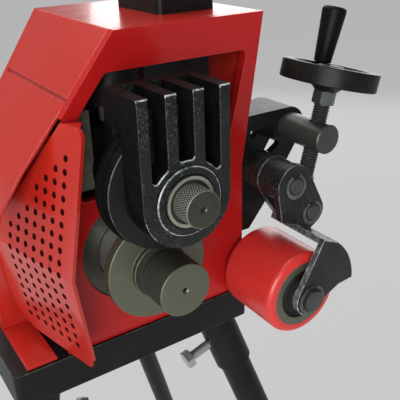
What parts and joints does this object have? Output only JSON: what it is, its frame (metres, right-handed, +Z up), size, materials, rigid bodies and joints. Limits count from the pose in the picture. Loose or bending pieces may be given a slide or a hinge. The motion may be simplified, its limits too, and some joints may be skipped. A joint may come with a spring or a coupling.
{
  "type": "pipe roll groover",
  "caption": "Motor driven pipe roll groover on a splayed leg stand: drive roll, upper roll in a hydraulic carriage, guard and a screw adjusted stabilizer roller.",
  "frame": {"origin": "on the floor, midway between the four feet", "axes": "+Z up, +X to the operator's right, +Y back along the spindle from the drive roll"},
  "size_m": [0.6676, 0.6564, 1.105],
  "materials": {
    "red_paint": "gloss",
    "black_paint": "satin",
    "black_casting": "satin",
    "roll_steel": "satin",
    "bright_steel": "satin",
    "dark_steel": "satin",
    "motor_paint": "satin",
    "black_rubber": "matte",
    "black_plastic": "matte",
    "red_urethane": "gloss",
    "green_button": "gloss",
    "red_button": "gloss"
  },
  "bodies": {
    "frame": {"front_plate": "red_paint", "right_cheek": "red_paint", "left_cheek": "red_paint", "back_plate": "red_paint", "head_cover": "red_paint", "left_cover": "red_paint", "guard": "red_paint", "base_tray": "black_paint", "leg_sockets": "black_paint", "legs": "black_paint", "guard_spacers": "black_paint", "pump_block": "black_paint", "stabilizer_bracket": "black_paint", "cylinder_body": "black_paint", "bulkhead": "black_casting", "crosshead": "black_casting", "bearing_cap": "roll_steel", "front_bearing_housing": "roll_steel", "bearing_cups": "bright_steel", "frame_bolts": "bright_steel", "leg_clamp_screws": "bright_steel", "guide_rails": "dark_steel", "pivot_pin": "dark_steel", "reducer_case": "motor_paint", "motor_body": "motor_paint", "fan_cover": "motor_paint", "terminal_box": "motor_paint", "feet": "black_rubber", "cable_gland": "black_plastic", "control_box": "black_plastic"},
    "spindle_unit": {"drive_roll": "roll_steel", "spindle": "bright_steel", "draw_bolt": "bright_steel", "spindle_gear": "bright_steel", "bearing_cones": "bright_steel", "bearing_rollers": "bright_steel"},
    "pinion_unit": {"pinion_shaft": "bright_steel"},
    "carriage_unit": {"carriage": "black_casting", "carriage_bushes": "bright_steel", "ram": "bright_steel"},
    "upper_roll_unit": {"upper_roll": "roll_steel", "upper_shaft": "roll_steel"},
    "stabilizer_arm_unit": {"stabilizer_arm": "black_casting", "stabilizer_yoke": "black_casting", "eye_pin": "dark_steel", "roller_pin": "dark_steel", "circlips": "dark_steel"},
    "stabilizer_roller_unit": {"roller_core": "roll_steel", "roller_tyre": "red_urethane"},
    "barrel_unit": {"screw_barrel": "dark_steel"},
    "eye_unit": {"screw_eye": "dark_steel"},
    "screw_unit": {"stabilizer_screw": "dark_steel", "handwheel": "black_paint"},
    "grip_unit": {"handwheel_grip": "black_plastic"},
    "lever_unit": {"pump_lever": "black_paint"},
    "plunger_unit": {"pump_plunger": "bright_steel"},
    "knob_unit": {"release_knob": "black_plastic"},
    "start_unit": {"start_button": "green_button"},
    "stop_unit": {"stop_button": "red_button"}
  },
  "joints": [
    {"name": "spindle_spin", "type": "hinge", "parent": "frame", "child": "spindle_unit", "pos_m": [0, -0.23, 0.82], "axis": [0, 1, 0], "continuous": true},
    {"name": "pinion_spin", "type": "hinge", "parent": "frame", "child": "pinion_unit", "pos_m": [0.05516, -0.11, 0.8631], "axis": [0, 1, 0], "continuous": true},
    {"name": "carriage_lift", "type": "slide", "parent": "frame", "child": "carriage_unit", "axis": [0, 0, 1], "range_m": [-0.006, 0.012]},
    {"name": "upper_roll_spin", "type": "hinge", "parent": "carriage_unit", "child": "upper_roll_unit", "pos_m": [0, -0.23, 0.902], "axis": [0, 1, 0], "continuous": true},
    {"name": "arm_swing", "type": "hinge", "parent": "frame", "child": "stabilizer_arm_unit", "pos_m": [0.1406, -0.222, 0.8618], "axis": [0, -1, 0], "range_deg": [-15.8, 15.8]},
    {"name": "roller_spin", "type": "hinge", "parent": "stabilizer_arm_unit", "child": "stabilizer_roller_unit", "pos_m": [0.133, -0.23, 0.7615], "axis": [0, 1, 0], "continuous": true},
    {"name": "barrel_tilt", "type": "hinge", "parent": "frame", "child": "barrel_unit", "pos_m": [0.18, -0.222, 0.8974], "axis": [0, -1, 0], "range_deg": [-5.9, 5.9]},
    {"name": "eye_travel", "type": "slide", "parent": "barrel_unit", "child": "eye_unit", "axis": [0.2513, 0, 0.9679], "range_m": [-0.0081, 0.0081]},
    {"name": "handwheel_turn", "type": "hinge", "parent": "eye_unit", "child": "screw_unit", "pos_m": [0.1624, -0.222, 0.8296], "axis": [0.2513, 0, 0.9679], "range_deg": [-1152, 1152]},
    {"name": "grip_spin", "type": "hinge", "parent": "screw_unit", "child": "grip_unit", "pos_m": [0.2143, -0.19342, 0.96387], "axis": [0.2513, 0, 0.9679], "continuous": true},
    {"name": "pump_stroke", "type": "hinge", "parent": "frame", "child": "lever_unit", "pos_m": [0.072, -0.153, 1.092], "axis": [1, 0, 0], "range_deg": [-20, 10]},
    {"name": "plunger_stroke", "type": "slide", "parent": "frame", "child": "plunger_unit", "axis": [0, 0, 1], "range_m": [-0.0118, 0.006]},
    {"name": "release_turn", "type": "hinge", "parent": "frame", "child": "knob_unit", "pos_m": [0.1, -0.138, 1.039], "axis": [1, 0, 0], "range_deg": [0, 360]},
    {"name": "start_press", "type": "slide", "parent": "frame", "child": "start_unit", "axis": [-1, 0, 0], "range_m": [0, 0.004], "stiffness_N_per_m": 600, "springref_m": -0.002},
    {"name": "stop_press", "type": "slide", "parent": "frame", "child": "stop_unit", "axis": [-1, 0, 0], "range_m": [0, 0.004], "stiffness_N_per_m": 600, "springref_m": -0.002}
  ],
  "couplings": [
    {"joint": "pinion_spin", "follows": "spindle_spin", "ratio": -3},
    {"joint": "eye_travel", "follows": "handwheel_turn", "m_per_rad": 0.00039789},
    {"joint": "arm_swing", "follows": "handwheel_turn", "ratio": 0.013625},
    {"joint": "barrel_tilt", "follows": "handwheel_turn", "ratio": 0.0050486},
    {"joint": "plunger_stroke", "follows": "pump_stroke", "m_per_rad": 0.033}
  ]
}
